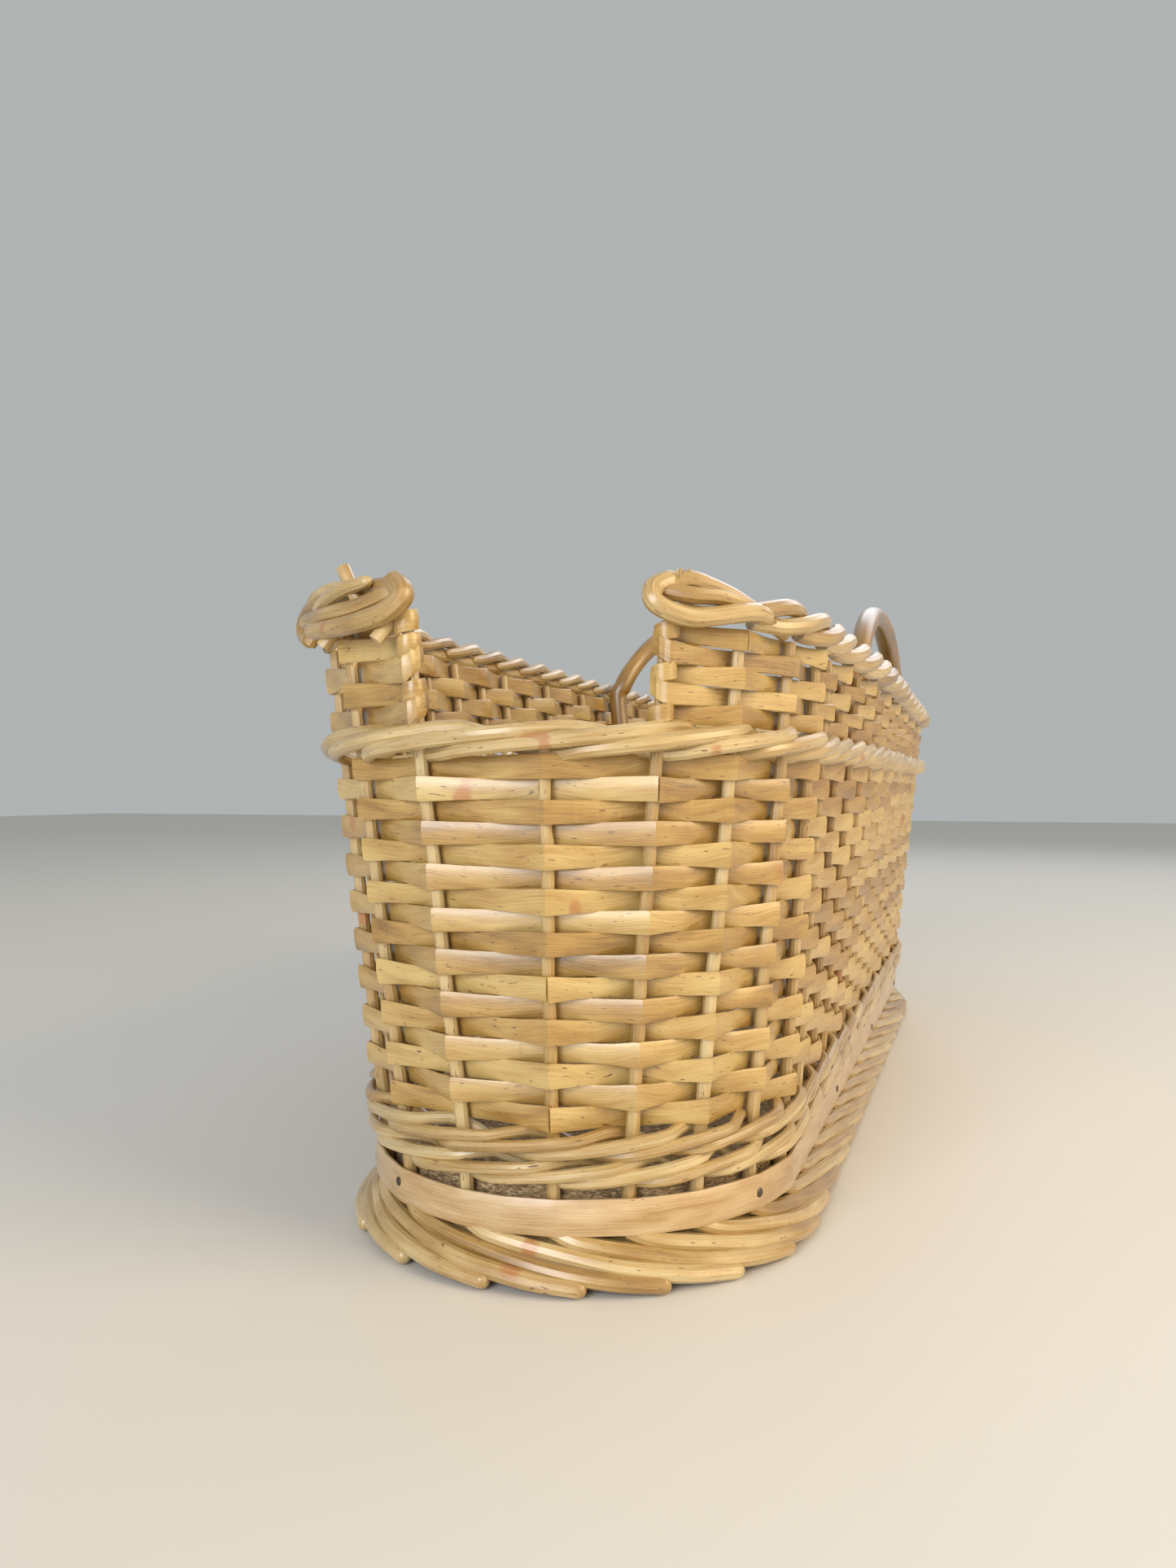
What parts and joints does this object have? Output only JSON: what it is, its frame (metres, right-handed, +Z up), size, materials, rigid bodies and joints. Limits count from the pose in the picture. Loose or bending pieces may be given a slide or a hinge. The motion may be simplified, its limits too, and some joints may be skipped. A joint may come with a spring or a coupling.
{
  "type": "wicker basket",
  "caption": "Long deep wicker basket of flat split willow on a board base, with a dip in one short end, a rolled rim and two small ear handles.",
  "frame": {"origin": "centre of the bounding box's bottom face, on the surface that the basket stands on", "axes": "+Z up, +Y along the basket away from the dip, +X to the right seen from the dip"},
  "size_m": [0.2525, 0.7508, 0.3239],
  "materials": {
    "round_willow": "satin varnish",
    "flat_willow": "satin varnish",
    "chipboard": "matt"
  },
  "bodies": {
    "root": {"stake_01": "round_willow", "stake_02": "round_willow", "stake_03": "round_willow", "stake_04": "round_willow", "stake_05": "round_willow", "stake_06": "round_willow", "stake_07": "round_willow", "stake_08": "round_willow", "stake_09": "round_willow", "stake_10": "round_willow", "stake_11": "round_willow", "stake_12": "round_willow", "stake_13": "round_willow", "stake_14": "round_willow", "stake_15": "round_willow", "stake_16": "round_willow", "stake_17": "round_willow", "stake_18": "round_willow", "stake_19": "round_willow", "stake_20": "round_willow", "stake_21": "round_willow", "stake_22": "round_willow", "stake_23": "round_willow", "stake_24": "round_willow", "stake_25": "round_willow", "stake_26": "round_willow", "stake_27": "round_willow", "stake_28": "round_willow", "stake_29": "round_willow", "stake_30": "round_willow", "stake_31": "round_willow", "stake_32": "round_willow", "stake_33": "round_willow", "stake_34": "round_willow", "stake_35": "round_willow", "stake_36": "round_willow", "stake_37": "round_willow", "stake_38": "round_willow", "stake_39": "round_willow", "stake_40": "round_willow", "stake_41": "round_willow", "stake_42": "round_willow", "stake_43": "round_willow", "stake_44": "round_willow", "stake_45": "round_willow", "base_board": "chipboard", "base_band": "flat_willow", "foot_border": "round_willow", "bottom_wale_1": "round_willow", "bottom_wale_2": "round_willow", "bottom_wale_3": "round_willow", "lower_weaver_1": "flat_willow", "lower_weaver_2": "flat_willow", "mid_border": "round_willow", "upper_weaver": "flat_willow", "rim_border": "round_willow", "right_horn": "round_willow", "left_horn": "round_willow", "right_handle": "round_willow", "left_handle": "round_willow"}
  },
  "joints": []
}
